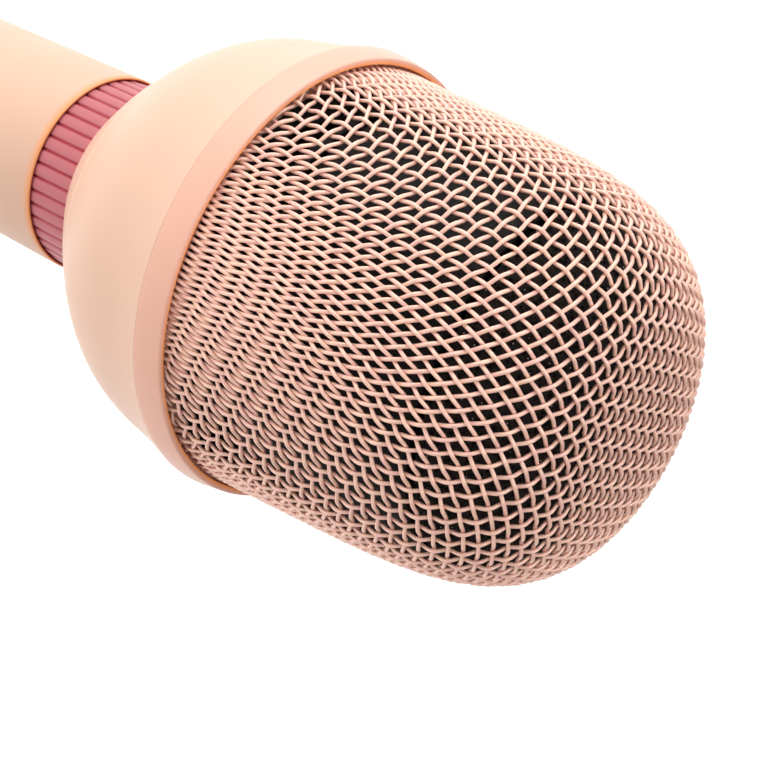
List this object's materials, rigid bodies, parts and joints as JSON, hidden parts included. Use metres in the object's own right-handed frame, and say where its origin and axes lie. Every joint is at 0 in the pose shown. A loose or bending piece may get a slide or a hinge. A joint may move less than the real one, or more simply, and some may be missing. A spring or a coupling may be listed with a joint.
{
  "type": "karaoke microphone",
  "caption": "Handheld karaoke microphone with a deep domed wire grille, a speaker in its bell-shaped head, a fluted neck ring and a straight handle with buttons.",
  "frame": {"origin": "centre of the flat butt end of the handle, which the microphone stands on", "axes": "+Z along the microphone's axis from the butt to the tip of the grille; the control panel faces -Y and the sockets face +Y"},
  "size_m": [0.0834, 0.0834, 0.2578],
  "materials": {
    "cream_plastic": "satin",
    "blush_plastic": "satin",
    "rose_plastic": "gloss",
    "painted_wire": "satin paint",
    "charcoal_plastic": "satin",
    "open_cell_foam": "matte",
    "black_rubber": "matte",
    "blush_rubber": "matte",
    "steel": "brushed",
    "brass": "plain",
    "magnet": "matte",
    "circuit_board": "satin",
    "cell_wrap": "gloss wrap",
    "capsule_metal": "satin",
    "cone_paper": "matte",
    "lamp": "gloss"
  },
  "bodies": {
    "handle_and_head": {"amplifier_chip": "charcoal_plastic", "aux_socket": "charcoal_plastic", "battery_cell": "cell_wrap", "battery_contact_high": "brass", "battery_contact_low": "brass", "battery_cradle": "charcoal_plastic", "bluetooth_module": "steel", "board_screw_1": "steel", "board_screw_2": "steel", "button_board": "circuit_board", "capsule_cup": "charcoal_plastic", "capsule_foam": "open_cell_foam", "capsule_mount": "black_rubber", "charge_socket": "steel", "control_panel": "blush_plastic", "echo_down_switch": "steel", "echo_rocker_pin": "steel", "echo_up_switch": "steel", "end_cap": "cream_plastic", "end_cap_screw_left": "steel", "end_cap_screw_right": "steel", "handle_tube": "cream_plastic", "head_screw_1": "steel", "head_screw_2": "steel", "head_screw_3": "steel", "head_shell": "cream_plastic", "main_board": "circuit_board", "microphone_capsule": "capsule_metal", "mode_switch": "steel", "neck_nut": "brass", "neck_ring": "rose_plastic", "play_switch": "steel", "port_board": "circuit_board", "power_switch": "steel", "speaker_back_plate": "steel", "speaker_basket": "charcoal_plastic", "speaker_magnet": "magnet", "speaker_surround": "black_rubber", "speaker_top_plate": "steel", "status_led": "lamp", "status_lens": "lamp", "tower_frame": "charcoal_plastic", "volume_down_switch": "steel", "volume_rocker_pin": "steel", "volume_up_switch": "steel"},
    "power_button": {"power_button": "rose_plastic"},
    "play_button": {"play_button": "rose_plastic"},
    "mode_button": {"mode_button": "rose_plastic"},
    "volume_rocker": {"volume_rocker": "rose_plastic"},
    "echo_rocker": {"echo_rocker": "rose_plastic"},
    "port_cover": {"port_cover": "blush_rubber"},
    "grille_seal": {"grille_seal": "black_rubber"},
    "grille": {"grille_band": "blush_plastic", "grille_mesh": "painted_wire"},
    "diaphragm": {"speaker_cone": "cone_paper", "speaker_dust_cap": "charcoal_plastic", "speaker_voice_coil": "brass"}
  },
  "joints": [
    {"name": "power_button_press", "type": "slide", "parent": "handle_and_head", "child": "power_button", "axis": [0, 1, 0], "range_m": [0, 0.0006], "stiffness_N_per_m": 900},
    {"name": "play_button_press", "type": "slide", "parent": "handle_and_head", "child": "play_button", "axis": [0, 1, 0], "range_m": [0, 0.0006], "stiffness_N_per_m": 900},
    {"name": "mode_button_press", "type": "slide", "parent": "handle_and_head", "child": "mode_button", "axis": [0, 1, 0], "range_m": [0, 0.0006], "stiffness_N_per_m": 900},
    {"name": "volume_rocker_tilt", "type": "hinge", "parent": "handle_and_head", "child": "volume_rocker", "pos_m": [0, -0.0142, 0.0542], "axis": [1, 0, 0], "range_deg": [-3, 3], "stiffness_Nm_per_rad": 0.12},
    {"name": "echo_rocker_tilt", "type": "hinge", "parent": "handle_and_head", "child": "echo_rocker", "pos_m": [0, -0.0142, 0.0372], "axis": [1, 0, 0], "range_deg": [-3, 3], "stiffness_Nm_per_rad": 0.12},
    {"name": "port_cover_swing", "type": "hinge", "parent": "handle_and_head", "child": "port_cover", "pos_m": [0, 0.01848, 0.0176], "axis": [-1, 0, 0], "range_deg": [0, 100]},
    {"name": "grille_lift", "type": "slide", "parent": "handle_and_head", "child": "grille_seal", "axis": [0, 0, 1], "range_m": [0, 0.0041]},
    {"name": "grille_turn", "type": "hinge", "parent": "grille_seal", "child": "grille", "pos_m": [0, 0, 0.192], "axis": [0, 0, 1], "range_deg": [0, 360]},
    {"name": "cone_travel", "type": "slide", "parent": "handle_and_head", "child": "diaphragm", "axis": [0, 0, 1], "range_m": [-0.0008, 0.0008], "stiffness_N_per_m": 1500}
  ],
  "couplings": [
    {"joint": "grille_lift", "follows": "grille_turn", "m_per_rad": 0.00063662}
  ]
}
